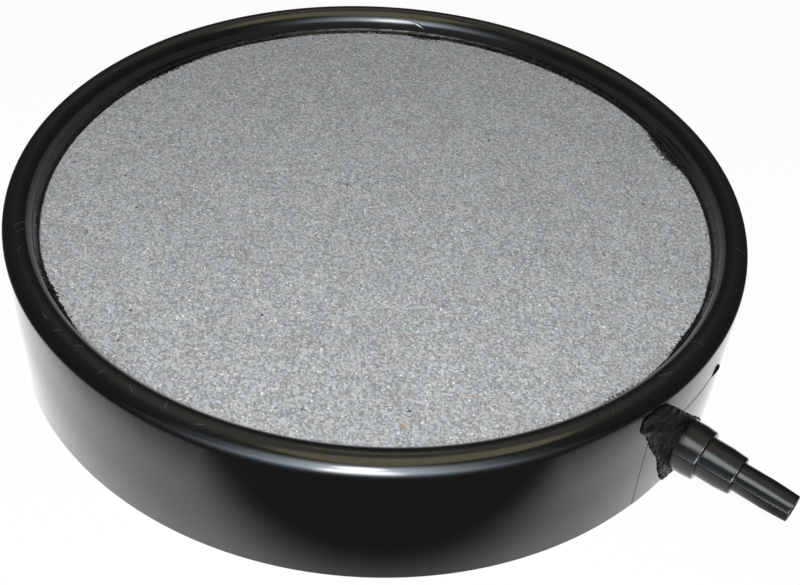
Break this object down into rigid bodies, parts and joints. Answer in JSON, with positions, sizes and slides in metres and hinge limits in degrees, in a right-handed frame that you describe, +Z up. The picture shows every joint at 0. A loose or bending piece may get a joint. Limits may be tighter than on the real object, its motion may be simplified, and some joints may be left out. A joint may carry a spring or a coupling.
{
  "type": "air stone",
  "caption": "Round disc air stone: moulded dish with a rounded rim, porous grey stone disc glued in from above and a stepped hose connector low in the wall.",
  "frame": {"origin": "centre of the flat underside, on the surface that the disc stands on", "axes": "+X out along the hose connector, +Z up through the porous face, +Y to the left of the connector seen from behind it"},
  "size_m": [0.149, 0.13, 0.025],
  "materials": {
    "housing_plastic": "glossy black moulded plastic, slightly scratched on the rim",
    "porous_stone": "mid-grey bonded fine grain with small glints, stands in for porous bonded mineral",
    "adhesive": "black, lumpy, half gloss",
    "connector_plastic": "glossy black moulded plastic"
  },
  "bodies": {
    "root": {"housing": "housing_plastic", "stone_disc": "porous_stone", "stone_seal": "adhesive", "hose_connector": "connector_plastic", "connector_glue": "adhesive"}
  },
  "joints": []
}
